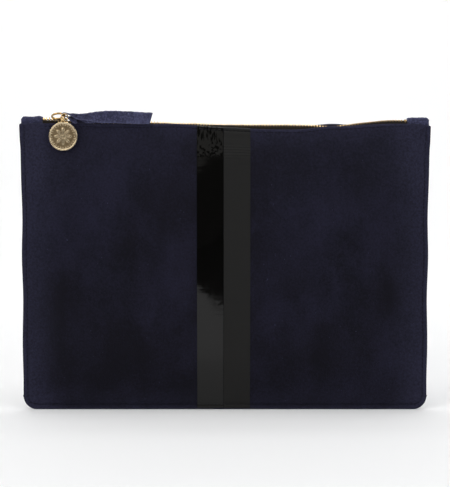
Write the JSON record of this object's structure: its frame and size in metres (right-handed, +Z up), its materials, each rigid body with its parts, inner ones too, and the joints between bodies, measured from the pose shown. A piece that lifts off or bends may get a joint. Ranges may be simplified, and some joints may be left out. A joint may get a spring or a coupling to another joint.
{
  "type": "zippered pouch",
  "caption": "Flat zippered suede pouch with two film stripes down the front, a brass zip in the mouth, and a ring, strap and medallion hung from the slider.",
  "frame": {"origin": "middle of the bottom seam, on the surface the pouch stands on; the mount bottom_edge lies on the front leaf's edge 0.75 mm in front of it", "axes": "+X along the zip, from its closed end towards its open end; -Y towards the front with the stripes; +Z up, from the bottom seam to the mouth"},
  "size_m": [0.2964, 0.0189, 0.217],
  "materials": {
    "navy_suede": "napped suede, dark navy",
    "tab_suede": "napped suede, navy, a little brighter",
    "gloss_film": "black patent film",
    "matte_film": "charcoal satin film",
    "grey_fleece": "non-woven stiffener",
    "black_twill": "cotton twill",
    "zip_tape": "woven tape",
    "dark_thread": "twisted sewing thread",
    "pale_gold": "polished, pale gold",
    "spring_steel": "plain",
    "antique_brass": "antiqued, satin"
  },
  "bodies": {
    "front_half": {"front_panel": "navy_suede", "gloss_stripe": "gloss_film", "matte_stripe": "matte_film", "front_stiffener": "grey_fleece", "front_lining": "black_twill", "front_zip_tape": "zip_tape", "front_teeth": "pale_gold", "front_top_stop": "pale_gold", "bottom_stop": "pale_gold", "left_zip_tab": "tab_suede", "right_zip_tab": "tab_suede", "front_seam_thread": "dark_thread", "front_mouth_thread": "dark_thread"},
    "back_half": {"back_panel": "navy_suede", "back_stiffener": "grey_fleece", "back_lining": "black_twill", "back_zip_tape": "zip_tape", "back_teeth": "pale_gold", "back_top_stop": "pale_gold", "back_seam_thread": "dark_thread", "back_mouth_thread": "dark_thread"},
    "slider": {"slider_body": "pale_gold", "slider_bridge": "pale_gold", "slider_lock_spring": "spring_steel"},
    "ring": {"pull_ring": "pale_gold", "medallion_link": "pale_gold"},
    "medallion": {"medallion": "antique_brass"},
    "strap": {"pull_strap": "tab_suede", "strap_stitch": "dark_thread"}
  },
  "joints": [
    {"name": "slider_slide", "type": "slide", "parent": "front_half", "child": "slider", "axis": [1, 0, 0], "range_m": [0, 0.24]},
    {"name": "mouth_open", "type": "hinge", "parent": "front_half", "child": "back_half", "pos_m": [0, 0, 0], "axis": [-1, 0, 0], "range_deg": [0, 11], "deforming": ["front_teeth", "back_teeth", "front_zip_tape", "back_zip_tape"]},
    {"name": "ring_tilt", "type": "hinge", "parent": "slider", "child": "ring", "pos_m": [-0.1161, 0, 0.2133], "axis": [0, 1, 0], "range_deg": [0, 45]},
    {"name": "strap_lift", "type": "hinge", "parent": "ring", "child": "strap", "pos_m": [-0.11678, 0.00211, 0.21442], "axis": [0, -1, 0], "range_deg": [0, 120]},
    {"name": "medallion_swing", "type": "hinge", "parent": "ring", "child": "medallion", "pos_m": [-0.116, -0.0093, 0.2094], "axis": [0, 1, 0], "range_deg": [-75, 75]}
  ],
  "couplings": [
    {"joint": "mouth_open", "follows": "slider_slide", "rad_per_m": 0.79},
    {"joint": "strap_lift", "follows": "ring_tilt", "ratio": 2.666}
  ]
}
